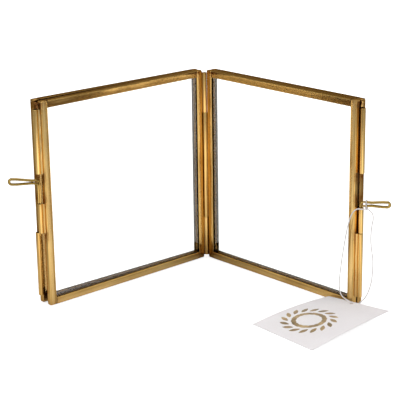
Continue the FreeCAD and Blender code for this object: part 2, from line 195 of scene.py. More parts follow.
def add_node(finish, kind, sockets=None, **settings):
    """Adds a node. A socket takes a constant or the output of another node."""
    node = finish.node_tree.nodes.new("ShaderNode" + kind)
    for key, value in settings.items():
        setattr(node, key, value)
    for key, value in (sockets or {}).items():
        if isinstance(value, bpy.types.NodeSocket):
            finish.node_tree.links.new(value, node.inputs[key])
        else:
            node.inputs[key].default_value = value
    return node


def patches(finish, place, size, detail=3.0, roughness=0.55):
    """Noise between 0 and 1 whose patches are about size units of place across."""
    return add_node(finish, "TexNoise", {
        "Vector": place, "Scale": 1.0 / size, "Detail": detail,
        "Roughness": roughness}).outputs["Fac"]


def stretched(finish, place, scale, at=(0.0, 0.0, 0.0)):
    """Coordinates taken times the scale, and then moved."""
    return add_node(finish, "Mapping", {
        "Vector": place, "Scale": scale, "Location": at}).outputs["Vector"]


def sums(finish, how, first, second, third=0.0):
    """Arithmetic on constants and outputs. MULTIPLY_ADD is first x second + third."""
    return add_node(finish, "Math", {0: first, 1: second, 2: third}, operation=how).outputs[0]


def toned(finish, share, stops):
    """A colour for each share between 0 and 1, from stops of (share, colour)."""
    ramp = add_node(finish, "ValToRGB", {"Fac": share})
    band = ramp.color_ramp
    while len(band.elements) < len(stops):
        band.elements.new(1.0)
    for element, (place, colour) in zip(band.elements, stops):
        element.position = place
        element.color = (*colour, 1.0)
    return ramp.outputs["Color"]


def blended(finish, share, below, above):
    """The colour below with that share of the colour above laid over it."""
    node = add_node(finish, "Mix", {0: share}, data_type="RGBA")
    for key, value in ((6, below), (7, above)):
        if isinstance(value, bpy.types.NodeSocket):
            finish.node_tree.links.new(value, node.inputs[key])
        else:
            node.inputs[key].default_value = (*value, 1.0)
    return node.outputs[2]


def bumped(finish, shader, height, depth, under=None):
    """Puts a height pattern of that depth in millimetres on the surface."""
    sockets = {"Height": height, "Strength": 1.0, "Distance": depth * MM}
    if under is not None:
        sockets["Normal"] = under
    bump = add_node(finish, "Bump", sockets)
    finish.node_tree.links.new(bump.outputs["Normal"], shader.inputs["Normal"])
    return bump.outputs["Normal"]


def linked(finish, shader, **sockets):
    """Leads the outputs of nodes into the shader's sockets."""
    for socket, value in sockets.items():
        finish.node_tree.links.new(value, shader.inputs[socket.replace("_", " ")])


cotton, shader = new_finish("cotton_string", Roughness=0.9, Specular_IOR_Level=0.2)
lay_map = add_node(cotton, "UVMap", uv_map="lay").outputs["UV"]
fibres = patches(cotton, stretched(cotton, lay_map, (3.2, 1.1, 1.0)), 1.0, 4.0)
linked(cotton, shader, Base_Color=toned(cotton, fibres, [
    (0.3, (0.72, 0.69, 0.69)), (0.5, (0.80, 0.77, 0.76)), (0.7, (0.88, 0.85, 0.83))]))
bumped(cotton, shader, fibres, 0.05)

route = on_leaf([
    (143.00, 6.25, 65.95), (143.30, 3.80, 66.20), (142.50, 0.95, 67.00),
    (140.90, -0.60, 67.20), (138.80, -1.60, 64.90),
    (136.90, -1.95, 60.80), (135.10, -2.05, 55.00), (133.40, -2.05, 47.00),
    (131.80, -2.10, 38.00), (130.50, -2.20, 29.50), (129.60, -2.40, 21.50),
    (129.40, -2.90, 14.50), (130.90, -3.80, 9.40), (134.20, -4.80, 7.00),
    (138.30, -5.40, 6.40), (141.60, -5.35, 5.90), (142.70, -5.00, 4.20),
    (143.10, -3.40, 2.95), (144.00, -1.35, 3.50), (145.80, -1.15, 5.40),
    (148.60, -1.55, 7.90), (151.30, -1.55, 11.20), (153.00, -1.00, 15.80),
    (153.90, 0.20, 21.20), (153.50, 1.60, 28.20), (152.20, 3.20, 35.40),
    (149.30, 4.40, 42.60), (147.80, 5.60, 50.00), (147.80, 6.70, 56.80),
    (148.20, 7.60, 61.00), (146.40, 7.80, 64.80), (142.95, 6.95, 65.95),
], 1)
line = bpy.data.curves.new("string_line", "CURVE")
line.dimensions = "3D"
line.resolution_u = 10
spline = line.splines.new("NURBS")
spline.points.add(len(route) - 1)
spline.points.foreach_set("co", np.concatenate([route, np.ones((len(route), 1))], 1).ravel())
spline.order_u = 3
spline.use_endpoint_u = True
line_object = bpy.data.objects.new("string_line", line)
read_line = bpy.data.meshes.new_from_object(line_object)
string_path = np.array([vertex.co for vertex in read_line.vertices], float)
bpy.data.objects.remove(line_object)
bpy.data.curves.remove(line)
bpy.data.meshes.remove(read_line)

string = mesh_piece("swing_string", [twisted(string_path, STRING_RADIUS, 12)],
                    "right_pin", cotton, 80.0)
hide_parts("tag_string")


# ---- The knot at the right handle ----
# The string's two ends are knotted under the handle's lower wire, and a turn and a half goes
# round both wires of the handle. The same cotton, drawn tight.
CATCH_U, CATCH_V = 140.05, 4.8
WIRE_RADIUS = 0.575
handle_turn = math.radians(8.0)
right_out = np.array([math.cos(handle_turn), -math.sin(handle_turn), 0.0])
right_across = np.cross((0.0, 0.0, 1.0), right_out)
right_axis = on_leaf((CATCH_U, CATCH_V, 0.0), 1)
right_height = 69.12
upward = np.array([0.0, 0.0, 1.0])


def beside_handle(out, across, up):
    """Millimetres from the middle of the right handle's root to points of the stand."""
    return (right_axis + MM * (np.asarray(out)[..., None] * right_out
                               + np.asarray(across)[..., None] * right_across
                               + (np.asarray(up)[..., None] + right_height) * upward))


def knot_turns():
    """A turn and a half round both wires, as an oval that climbs from 2.7 to 3.6 mm out along
    the handle: two half circles joined by straight sides of 2.6 mm."""
    t = np.linspace(0, 1, 120)
    angle = 3 * np.pi * t - 0.5 * np.pi
    wide = WIRE_RADIUS + STRING_RADIUS + 0.2
    lift = np.clip(2.2 * np.sin(angle), -1, 1) * 1.3
    return beside_handle(2.7 + 0.9 * t, wide * np.cos(angle), lift + wide * np.sin(angle))


def overhand():
    """An overhand knot: a trefoil line, (sin t + 2 sin 2t, cos t - 2 cos 2t, -sin 3t)."""
    t = np.linspace(0.25, 2 * np.pi - 0.12, 150)
    across = np.sin(t) + 2 * np.sin(2 * t)
    up = np.cos(t) - 2 * np.cos(2 * t)
    deep = -np.sin(3 * t)
    return beside_handle(3.5 + 0.23 * across, 0.42 * deep, -3.0 + 0.22 * up)


knot = mesh_piece(
    "string_knot",
    [twisted(path, STRING_RADIUS * 0.93, 10) for path in (knot_turns(), overhand())],
    "right_pin", cotton, 80.0)
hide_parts("tag_knot")


# ---- The swing tag ----
# A card of 54 x 66 mm, 0.4 mm thick, with a punched hole. Its foot rests on the table and the
# string holds its head up, so it bends along its length. A foil wreath is pressed on it.
TAG_WIDE, TAG_LONG, TAG_THICK = 54.0, 66.0, 0.4
tag_turn = math.radians(-3.8)
tag_along = np.array([math.cos(tag_turn), math.sin(tag_turn)])
tag_down = np.array([math.sin(tag_turn), -math.cos(tag_turn)])
hole_at = np.array([0.44 * TAG_WIDE, 2.9])
wreath_at = np.array([23.6, 40.1])


def on_card(across, down, over=0.0):
    """A point of the card, in millimetres from its head's inner corner. With the share s from
    foot to head, the head is held 2 to 8 mm up across the card, and the card bows up by 1.9 to
    0.7 mm times 4 s (1 - s)."""
    s = 1 - down / TAG_LONG
    rise = s * (2.0 + 6.0 * across / TAG_WIDE) + 4 * s * (1 - s) * (
        1.9 - 1.2 * across / TAG_WIDE)
    flat = (119.0 + across * tag_along[0] + down * tag_down[0],
            -0.9 + across * tag_along[1] + down * tag_down[1])
    return on_leaf(np.stack([*flat, rise + over], -1), 1)


def card_rings():
    """Rings from the hole's circle of 1.3 mm to the card's outline, over the top and back under
    the card: a ring is a share of the way out in the same direction."""
    turn = np.linspace(0, 2 * np.pi, 160, endpoint=False)
    corners = np.array([(0, 0), (TAG_WIDE, 0), (TAG_WIDE, TAG_LONG), (0, TAG_LONG)]) - hole_at
    turn = np.sort(np.concatenate([turn, np.arctan2(corners[:, 1], corners[:, 0]) % (2 * np.pi)]))
    ray = np.stack([np.cos(turn), np.sin(turn)], 1)
    with np.errstate(divide="ignore"):
        to_edges = np.where(ray > 0, (TAG_WIDE, TAG_LONG) - hole_at, -hole_at) / ray
    reach = np.nanmin(np.abs(to_edges), 1)[:, None] * ray
    share = np.linspace(0, 1, 26)[:, None, None] ** 1.4
    spread = hole_at + 1.3 * ray * (1 - share) + reach * share
    top = on_card(spread[..., 0], spread[..., 1], TAG_THICK)
    under = on_card(spread[..., 0], spread[..., 1], 0.0)[::-1]
    return np.concatenate([top, under], 0)


card, shader = new_finish("tag_card", Roughness=0.75)
card_place = add_node(card, "TexCoord").outputs["Object"]
pulp = patches(card, card_place, 0.0016, 5.0)
cloud = patches(card, card_place, 0.03, 2.0)
linked(card, shader, Base_Color=toned(card, sums(card, "MULTIPLY_ADD", pulp, 0.35, sums(
    card, "MULTIPLY", cloud, 0.65)), [
        (0.3, (0.85, 0.81, 0.82)), (0.7, (0.92, 0.89, 0.895))]))
bumped(card, shader, pulp, 0.02)
tag = mesh_piece("swing_tag_card", [(card_rings(), None, True)], "right_pin", card)
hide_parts("swing_tag")


def wreath_leaf(turn, radius, lean, length, half_wide):
    """A pointed leaf: its midline leans from the ring's own direction, and its half width is a
    constant times sin(pi t) to the power 0.8."""
    t = np.linspace(0.0, 1.0, 13)[:, None]
    side = np.linspace(-1, 1, 7)[None, :]
    course = turn + lean
    base = wreath_at + radius * np.array([math.cos(turn), math.sin(turn)])
    ahead = np.array([-math.sin(course), math.cos(course)])
    across = np.array([math.cos(course), math.sin(course)])
    half = half_wide * np.clip(np.sin(np.pi * t), 0.01, 1) ** 0.8 * side
    place = base + ahead * (t * length)[..., None] + across * half[..., None]
    top = on_card(place[..., 0], place[..., 1], TAG_THICK + 0.045 - 0.02 * np.abs(side))
    low = on_card(place[..., 0], place[..., 1], TAG_THICK - 0.02)
    return np.concatenate([top, low[:, ::-1]], 1), None, False


foil, shader = new_finish("pressed_foil", Metallic=1.0, Roughness=0.38)
foil_place = add_node(foil, "TexCoord").outputs["Object"]
creases = patches(foil, foil_place, 0.006, 4.0)
linked(foil, shader, Base_Color=toned(foil, creases, [
    (0.3, (0.17, 0.11, 0.04)), (0.5, (0.32, 0.21, 0.09)), (0.7, (0.55, 0.39, 0.19))]))
bumped(foil, shader, creases, 0.1)
turns = np.linspace(0, 2 * np.pi, 16, endpoint=False)
LEAF_LONG, LEAF_HALF = 7.2, 1.45
wreath = mesh_piece(
    "foil_wreath",
    [wreath_leaf(turn, 13.2, -0.62, LEAF_LONG, LEAF_HALF) for turn in turns]
    + [wreath_leaf(turn + 0.2, 11.2, 0.62, LEAF_LONG, LEAF_HALF) for turn in turns],
    "right_pin", foil)

for soft in (string, tag, wreath):
    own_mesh(soft)


# ---- The four frames of folded brass ----
# Each leaf is a front and a back frame. A frame is two stiles and two rails of brass sheet,
# 0.7 mm thick, folded to a channel of 4.8 x 4.1 mm, with the stiles' ends closed by solder.
FACE, DEPTH, SHEET = 4.8, 4.1, 0.7
INNER, OUTER, HIGH = 1.7, 138.3, 136.6
FRONT, PARTING = 0.25, 4.35
HINGE_U, HINGE_V, REACH = 0.1, 4.35, 138.2
SPINE_RADIUS, FILLET_WIDE = 1.6, 2.2
# The marks' channels: wear with a painted highlight, heat tint, painted shade with dark joints,
# and tone, which also carries painted light and shade.
WEAR_AND_HIGHLIGHT, HEATED, SHADE_AND_JOINTS, TONE = range(4)
hands = {"left": -1, "right": 1}
gaps = {("left", "front"): 0.0, ("left", "back"): 4.4,
        ("right", "front"): 0.0, ("right", "back"): 0.9}
bodies = {("left", "front"): "left_front", ("left", "back"): "left_back",
          ("right", "front"): "right_leaf", ("right", "back"): "right_leaf"}


def swung(places, gap):
    """Turns places of a leaf about the hinge between its frames, until the frames' outer
    edges are that far apart."""
    u, v, z = np.moveaxis(np.asarray(places, float), -1, 0)
    turn = math.atan(gap / REACH)
    du, dv = u - HINGE_U, v - HINGE_V
    return np.stack([HINGE_U + du * math.cos(turn) - dv * math.sin(turn),
                     HINGE_V + dv * math.cos(turn) + du * math.sin(turn), z], -1)


def on_stand(shells, gap, hand):
    """Shells of a frame, in its leaf's millimetres, as shells of the stand."""
    return [(on_leaf(swung(places, gap), hand), marks, looped)
            for places, marks, looped in shells]


def rounded(corners, cuts, steps):
    """A closed outline whose corners are parabolas that leave each side at the cut before the
    corner: (1-t)^2 start + 2 t (1-t) corner + t^2 stop."""
    corners = np.asarray(corners, float)
    before = np.roll(corners, 1, 0) - corners
    after = np.roll(corners, -1, 0) - corners
    cuts = np.asarray(cuts, float)[:, None]
    start = corners + before / np.linalg.norm(before, axis=1, keepdims=True) * cuts
    stop = corners + after / np.linalg.norm(after, axis=1, keepdims=True) * cuts
    t = np.linspace(0, 1, steps)[None, :, None]
    curve = ((1 - t) ** 2 * start[:, None] + 2 * t * (1 - t) * corners[:, None]
             + t ** 2 * stop[:, None])
    return curve.reshape(-1, 2)


def folded_section():
    """The channel's outline with a point every 0.3 mm, and which points are on its inside. The
    outer faces fall back from their middle as a constant times the squared share of their half
    width."""
    bends = rounded(
        [(FACE, 0), (0, 0), (0, DEPTH), (FACE, DEPTH), (FACE, DEPTH - SHEET),
         (SHEET, DEPTH - SHEET), (SHEET, SHEET), (FACE, SHEET)],
        [0.22, 0.6, 0.6, 0.22, 0.22, 0.15, 0.15, 0.22], 6)
    ring = np.concatenate([bends, bends[:1]])
    at = np.concatenate([[0.0], np.cumsum(np.linalg.norm(np.diff(ring, axis=0), axis=1))])
    wanted = np.unique(np.round(np.concatenate([at, np.arange(0, at[-1], 0.3)]), 2))[:-1]
    u, v = (np.interp(wanted, at, ring[:, k]) for k in (0, 1))
    inner = (u > 0.5) & (v > 0.4) & (v < DEPTH - 0.4)
    fall = 0.13 * (2 * u / FACE - 1) ** 2 * (~inner) * (u > 0.01)
    sunk = 0.03 * (2 * v / DEPTH - 1) ** 2 * (u < 0.6) * (~inner)
    return np.stack([u + sunk, v + np.where(v < DEPTH / 2, fall, -fall)], 1), inner


section, inside = folded_section()
# Wear and painted highlight: brighter along the rounded bends and along the lip's edge.
bend = np.minimum(np.hypot(section[:, 0], section[:, 1]),
                  np.hypot(section[:, 0], section[:, 1] - DEPTH))
bend_wear_and_highlight = np.maximum(np.exp(-(bend / 0.8) ** 2), 0.6 * np.exp(-((FACE - section[:, 0]) / 0.4) ** 2))
bend_wear_and_highlight = bend_wear_and_highlight * ~inside
# Painted highlight and shade across a face: a bright band 1.7 mm in from the outer bend, darker
# towards the lip and just beside the bend.
painted_band_across = (0.17 * np.exp(-((section[:, 0] - 1.7) / 0.75) ** 2)
               - 0.11 * np.clip((section[:, 0] - 2.9) / 0.8, 0, 1)
               - 0.06 * np.exp(-((section[:, 0] - 0.4) / 0.35) ** 2))


def strip(start, length, across, along, deep_start, tone, uneven, is_front, scorched=()):
    """The channel's section carried along a straight line. The faces wander in and out by
    hundredths of a millimetre as two sine waves, as hand-folded sheet does. The outer side is
    scorched by a bell curve about each given height, where a tube's end was soldered on. The side
    shut in between a leaf's two frames is set back by 0.05 mm and darkened with painted shade, as
    is the inside of the channel. Across the faces the tone carries a painted band of highlight and
    shade."""
    end_steps = np.array([0.0, 0.35, 0.7, 1.2])
    s = np.concatenate([end_steps, np.linspace(2.0, length - 2.0, 76), length - end_steps[::-1]])
    from_end = np.minimum(s, length - s)
    wander = 0.03 * np.sin(s / 11.0 + uneven) + 0.02 * np.sin(s / 4.3 + 2.1 * uneven)
    wander *= np.clip(from_end / 3.0, 0, 1)
    bulge = np.clip(np.minimum(section[:, 0], FACE - section[:, 0]) / 1.5, 0, 1)
    inward = bulge * np.where(section[:, 1] < DEPTH / 2, 1, -1)
    places = (np.asarray(start, float) + section[None, :, :1] * np.asarray(across, float)
              + s[:, None, None] * np.asarray(along, float))
    places[..., 1] += deep_start + section[:, 1] + wander[:, None] * inward
    shut_in = section[:, 1] > DEPTH - 0.8 if is_front else section[:, 1] < 0.8
    places[..., 1] += shut_in * (-0.05 if is_front else 0.05)
    marks = np.zeros(places.shape[:2] + (4,))
    marks[..., WEAR_AND_HIGHLIGHT] = bend_wear_and_highlight * np.where(shut_in, 0.2, 1.0)
    marks[..., HEATED] = 0.5 * np.clip(1 - from_end / 7.0, 0, 1)[:, None] ** 1.5
    # Painted shade: nearly black inside the channel, and darkened on the side shut in between the
    # frames.
    marks[..., SHADE_AND_JOINTS] = np.maximum(inside, shut_in * np.clip(section[:, 0] / 2.4, 0, 0.55))
    for height in scorched:
        burn = 1.5 * np.exp(-((s - height) / 4.5) ** 2)[:, None] * (section[:, 0] < 0.9)
        marks[..., HEATED] = np.maximum(marks[..., HEATED], burn)
    if along[0]:
        at_seam = 0.5 * (from_end < 0.4)
        marks[..., SHADE_AND_JOINTS] = np.maximum(marks[..., SHADE_AND_JOINTS], at_seam[:, None])
    marks[..., TONE] = tone + painted_band_across * (1.0 if scorched else 0.6)
    return places, marks, False


def lump(middle, half, square, uneven, seed, tone, heated, shade_and_joints=0.0):
    """A rounded block of solder: powers of sine and cosine of two angles, times a slow wave."""
    rise = np.linspace(-0.48, 0.48, 15)[:, None] * np.pi
    turn = np.linspace(0, 2 * np.pi, 28, endpoint=False)[None, :]

    def eased(value):
        return np.sign(value) * np.abs(value) ** square

    wave = 1 + uneven * (np.sin(3 * turn + seed) * np.cos(2 * rise + seed)
                         + 0.6 * np.sin(5 * turn + 2.3 * seed + 3 * rise))
    unit = np.stack(np.broadcast_arrays(eased(np.cos(rise)) * eased(np.cos(turn)),
                                        eased(np.cos(rise)) * eased(np.sin(turn)),
                                        eased(np.sin(rise))), -1)
    places = np.asarray(middle) + unit * np.asarray(half) * wave[..., None]
    marks = np.zeros(places.shape[:2] + (4,))
    marks[:] = (0.0, heated, shade_and_joints, tone)
    return places, marks, False


def fillet(side_u, edge_v, towards, u, v, radius, low, length, seed, tone=0.5, dark=0.15):
    """The solder between a tube and the side of a frame: a narrow wedge from the side to 60
    degrees up the tube's wall, carried up the tube. Its width wanders by a slow wave, its face
    is crowned, and it ends inside the tube's wall."""
    z = low + length * np.linspace(0, 1, 40)[:, None]
    wide = FILLET_WIDE * (1 + 0.04 * np.sin(z / 3.1 + seed) + 0.02 * np.sin(z / 1.3 + 2 * seed))
    side = math.copysign(1.0, u - side_u)
    wall = radius - 0.12
    t = np.linspace(0, 1, 9)
    crown = 0.5 * t * (1 - t)
    across = side_u * (1 - t) + (u - side * wall * 0.5) * t + side * crown
    deep = ((edge_v + towards * wide) * (1 - t) + (v + towards * wall * 0.866) * t
            + towards * crown)
    parted = min(v, edge_v - 0.06) if towards < 0 else max(v, edge_v + 0.06)
    across = np.concatenate([across, (u - side * wall, side_u)])
    deep = np.concatenate([deep, np.broadcast_to((v, parted), (len(z), 2))], 1)
    places = np.stack(np.broadcast_arrays(across, deep, z), -1)
    marks = np.zeros(places.shape[:2] + (4,))
    # Painted shade over the fillet by the given darkness, deeper where it meets the frame's side
    # and where it runs into the tube's wall.
    marks[..., SHADE_AND_JOINTS] = dark
    marks[:, 0, SHADE_AND_JOINTS] = 0.9
    marks[:, 8:, SHADE_AND_JOINTS] = 0.7
    marks[..., TONE] = tone + 0.03
    return places, marks, False


def aged_brass(name, dark, middle, bright, roughness, streak=(0.9, 45.0)):
    """Antiqued brass: streaks along the metal over cloudy patches, made bright where the marks say
    by the polish of wear and by a painted highlight, reddish brown where it was heated, and nearly
    black with painted shade in the recess of the channel, between the frames and in crevices, and
    along dark joints. The marks' tone lifts or sinks the colour and also carries painted light and
    shade. The skin of age tints what it mirrors at a glancing angle. A streak is wide, long in
    millimetres."""
    finish, shader = new_finish(name, Metallic=1.0, Specular_Tint=(0.62, 0.42, 0.24, 1.0))
    place = add_node(finish, "TexCoord").outputs["Object"]
    lay = add_node(finish, "UVMap", uv_map="lay").outputs["UV"]
    marks = add_node(finish, "Attribute", attribute_name="marks")
    wear_and_highlight, heated, shade_and_joints = add_node(
        finish, "SeparateColor", {"Color": marks.outputs["Color"]}).outputs
    tone = marks.outputs["Alpha"]
    long_streaks = patches(
        finish, stretched(finish, lay, (1 / streak[0], 1 / streak[1], 1.0)), 1.0, 2.0, 0.5)
    hairlines = patches(finish, stretched(finish, lay, (2.5, 0.03, 1.0)), 1.0, 2.0, 0.5)
    clouds = patches(finish, place, 0.03, 2.0, 0.5)
    spots = patches(finish, place, 0.0017, 3.0, 0.6)
    share = sums(finish, "MULTIPLY_ADD", long_streaks, 0.42,
                 sums(finish, "MULTIPLY_ADD", clouds, 0.38,
                      sums(finish, "MULTIPLY", hairlines, 0.2)))
    share = sums(finish, "ADD", share, sums(finish, "SUBTRACT", tone, 0.5))
    colour = toned(finish, share, [(0.22, dark), (0.5, middle), (0.78, bright)])
    scorched = sums(finish, "MULTIPLY", heated, toned(
        finish, spots, [(0.3, (0.45, 0.45, 0.45)), (0.7, (1.0, 1.0, 1.0))]))
    colour = blended(finish, sums(finish, "MULTIPLY", scorched, 0.75), colour,
                     (0.23, 0.07, 0.012))
    # The polish of wear and a painted highlight, a pale gold.
    polish_and_highlight = sums(finish, "MULTIPLY", wear_and_highlight, toned(
        finish, hairlines, [(0.3, (0.3, 0.3, 0.3)), (0.7, (0.65, 0.65, 0.65))]))
    colour = blended(finish, polish_and_highlight, colour, (0.88, 0.58, 0.19))
    # Painted shade and dark joints: the colour taken towards near black.
    colour = blended(finish, sums(finish, "MULTIPLY", shade_and_joints, 0.9), colour,
                     (0.085, 0.050, 0.030))
    rough = sums(finish, "MULTIPLY_ADD", hairlines, 0.2,
                 sums(finish, "MULTIPLY_ADD", heated, 0.08, roughness - 0.1))
    linked(finish, shader, Base_Color=colour, Roughness=rough)
    open_to_light = sums(finish, "SUBTRACT", 1.0, shade_and_joints)
    normal = bumped(finish, shader, sums(finish, "MULTIPLY", hairlines, open_to_light), 0.003)
    normal = bumped(finish, shader, sums(finish, "MULTIPLY", long_streaks, open_to_light), 0.02,
                    normal)
    bumped(finish, shader, sums(finish, "MULTIPLY", spots, heated), 0.06, normal)
    return finish


strip_brass = aged_brass(
    "strip_brass", (0.22, 0.115, 0.030), (0.61, 0.37, 0.12), (0.95, 0.67, 0.28), 0.20)
# Painted light and shade in each piece's tone: the top rails much darker, the bottom rails and
# outer stiles lighter.
painted_light_tones = {"inner_stile": 0.48, "outer_stile": 0.56, "top_rail": 0.18, "bottom_rail": 0.56}
TUBE_ENDS = (133.0, 86.0, 71.0, 47.0)
STILE_FOOT, STILE_LONG = 1.0, HIGH - 2.0
RAIL_START, RAIL_LONG = INNER + FACE + 0.03, HIGH - 2 * FACE - 0.06
BLOCK_MIDDLE, BLOCK_HALF = 1.33, (FACE / 2, DEPTH / 2 - 0.07, 1.28)
courses = {
    "inner_stile": ((INNER, 0, STILE_FOOT), STILE_LONG, (1, 0, 0), (0, 0, 1)),
    "outer_stile": ((OUTER, 0, STILE_FOOT), STILE_LONG, (-1, 0, 0), (0, 0, 1)),
    "top_rail": ((RAIL_START, 0, HIGH), RAIL_LONG, (0, 0, -1), (1, 0, 0)),
    "bottom_rail": ((RAIL_START, 0, 0), RAIL_LONG, (0, 0, 1), (1, 0, 0)),
}
number = 0
for (side, layer), gap in gaps.items():
    front = FRONT if layer == "front" else PARTING
    for piece_name, (start, length, across, along) in courses.items():
        number += 1
        # Painted shade: the back frames and the right leaf a little darker; the right outer stile
        # a little lighter.
        tone = painted_light_tones[piece_name] - 0.08 * (layer == "back") - 0.07 * (side == "right")
        tone += 0.02 * (side == "right" and piece_name == "outer_stile")
        shells = [strip(start, length, across, along, front, tone, 1.7 * number,
                        layer == "front", TUBE_ENDS if piece_name == "outer_stile" else ())]
        if (side, layer, piece_name) == ("right", "front", "outer_stile"):
            # Painted shade: nearly black in the crevice behind the upper and the middle catch
            # tube.
            places, marks = shells[0][:2]
            crevice = (section[:, 0] < 0.9) * np.clip((section[:, 1] - 2.1) / 0.7, 0, 1)
            marks[..., SHADE_AND_JOINTS] = np.maximum(
                marks[..., SHADE_AND_JOINTS], 0.9 * crevice * (places[..., 2] > 49.5))
        if piece_name.endswith("stile"):
            middle_u = start[0] + across[0] * FACE / 2
            shells += [lump((middle_u, front + DEPTH / 2, z), BLOCK_HALF, 0.33, 0.012, number,
                            tone, 0.28) for z in (BLOCK_MIDDLE, HIGH - BLOCK_MIDDLE)]
        if (layer, piece_name) == ("front", "inner_stile"):
            # A run of solder 0.07 mm off the knuckle of the other leaf, which turns beside it,
            # with a little painted shade.
            low, length = (30.3, 76.0) if side == "left" else (2.0, 28.2)
            shells.append(fillet(INNER, FRONT, 1, 0.0, 0.0, SPINE_RADIUS + 0.45, low, length,
                                 number, tone, 0.25))
        made = mesh_piece(f"{side}_{layer}_{piece_name}_brass",
                          on_stand(shells, gap, hands[side]), bodies[side, layer],
                          strip_brass, lay_start=310.0 * number)
        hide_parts(f"{side}_{layer}_{piece_name}")


# ---- The four panes ----
# Clear float glass of 2.2 mm in each frame's channel. A photo is held between a leaf's two.
glass, shader = new_finish("float_glass", Roughness=0.0, IOR=1.5, Transmission_Weight=1.0,
                           Base_Color=(0.985, 0.998, 0.992, 1.0))
for side, layer in gaps:
    frame["nodes"][f"{side}_{layer}_glass"].material_slots[0].material = glass


# ---- The tubes: spine hinge, frame hinges and latch tubes ----
# Each is rolled from brass sheet to a butt seam, cut square, and soldered along the side of
# its frame.


def rolled(u, v, low, length, radius, bore, seam, tone):
    """A tube's wall: a rounded oblong of radius and height, turned about the tube's axis. The
    seam presses the outside in by 0.16 mm times a bell curve of the angle."""
    wall = rounded([(radius, low), (radius, low + length), (bore, low + length), (bore, low)],
                   [0.18, 0.18, 0.1, 0.1], 5)
    turn = np.linspace(0, 2 * np.pi, 56, endpoint=False)
    away = (turn - seam + np.pi) % (2 * np.pi) - np.pi
    bell = np.exp(-(away / 0.075) ** 2)
    outside = (wall[:, :1] - bore) / (radius - bore)
    height = wall[:, 1:]
    reach = wall[:, :1] - outside * 0.16 * bell
    places = np.stack(np.broadcast_arrays(
        u + reach * np.cos(turn), v + reach * np.sin(turn), height), -1)
    marks = np.zeros(places.shape[:2] + (4,))
    at_end = np.minimum(height - low, low + length - height) < 0.25
    marks[..., WEAR_AND_HIGHLIGHT] = 0.9 * (at_end & (outside > 0.5))
    # Painted shade: the bore nearly black; the seam a dark joint line.
    marks[..., SHADE_AND_JOINTS] = np.maximum(outside < 0.3, 0.85 * bell * outside)
    marks[..., TONE] = tone
    return places, marks, True


def soldered(side_u, edge_v, towards, axis, radii, low, length, seam, seed, tone=0.5,
             dark=0.15):
    """A tube and the fillet that holds it to the side of a frame."""
    return [rolled(*axis, low, length, *radii, seam, tone),
            fillet(side_u, edge_v, towards, *axis, radii[0], low, length, seed, tone, dark)]


tube_brass = aged_brass(
    "tube_brass", (0.38, 0.17, 0.035), (0.78, 0.48, 0.16), (0.97, 0.70, 0.30), 0.18)
SPINE_RADII, CATCH_RADII, HINGE_RADII = (SPINE_RADIUS, 0.85), (1.65, 1.25), (1.5, 0.75)

# Each knuckle's leaf, body, foot, length and tone.
knuckles = {
    "spine_bottom_knuckle": ("left", "left_front", 2.0, 28.2, 0.55),
    "spine_middle_knuckle": ("right", "right_leaf", 30.3, 76.0, 0.52),
    "spine_top_knuckle": ("left", "left_front", 106.4, 28.2, 0.50),
}
for number, (node, (side, body, low, length, tone)) in enumerate(knuckles.items()):
    shells = soldered(INNER, FRONT, 1, (0.0, 0.0), SPINE_RADII, low, length, -2.2, number, tone)
    made = mesh_piece(f"{node}_tube", on_stand(shells, 0.0, hands[side]), body,
                      tube_brass, lay_start=97.0 * number)
    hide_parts(node)

# Each catch tube's body, how far it stands open with its frame, its foot and length, the way its
# fillet faces, its tone and how dark the fillet is. The tone is a painted light and shade that
# makes each tube read brighter or darker, and the fillet's darkness is painted shade, deepest
# behind the right upper and middle tubes. The upper ones carry drops of solder.
catches = {
    "left_upper_catch_tube": ("left_front", 0.0, 89.2, 42.0, -1, 0.62, 0.15),
    "left_middle_catch_tube": ("left_front", 0.0, 49.6, 19.8, -1, 0.42, 0.15),
    "left_lower_catch_tube": ("left_back", 3.5, 6.3, 43.0, 1, 0.36, 0.15),
    "right_upper_catch_tube": ("right_leaf", 0.0, 89.2, 42.0, 1, 0.50, 0.7),
    "right_middle_catch_tube": ("right_leaf", 0.0, 49.6, 17.0, 1, 0.52, 0.7),
    "right_lower_catch_tube": ("right_leaf", 0.0, 6.3, 43.0, -1, 0.48, 0.15),
}
drops = {
    "left_upper_catch_tube": [((139.25, 4.7, 133.2), (0.8, 1.6, 2.1), 1.6, 0.45),
                              ((139.2, 5.9, 134.1), (0.75, 1.3, 1.7), 1.4, 0.3)],
    "right_upper_catch_tube": [((139.2, 5.0, 133.4), (0.7, 1.1, 2.2), 0.35, 0.0)],
}
for number, (node, (body, gap, low, length, towards, tone, dark)) in enumerate(catches.items()):
    hand = hands[node.split("_")[0]]
    shells = soldered(OUTER, PARTING, towards, (CATCH_U, CATCH_V), CATCH_RADII, low, length,
                      -0.5 if hand < 0 else -1.1, number + 5, tone, dark)
    shells += [lump(middle, half, 0.75, 0.04, middle[2], 0.5, heated, shade_and_joints)
               for middle, half, heated, shade_and_joints in drops.get(node, [])]
    made = mesh_piece(f"{node}_tube", on_stand(shells, gap, hand), body,
                      tube_brass, lay_start=83.0 * number)
    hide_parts(node)

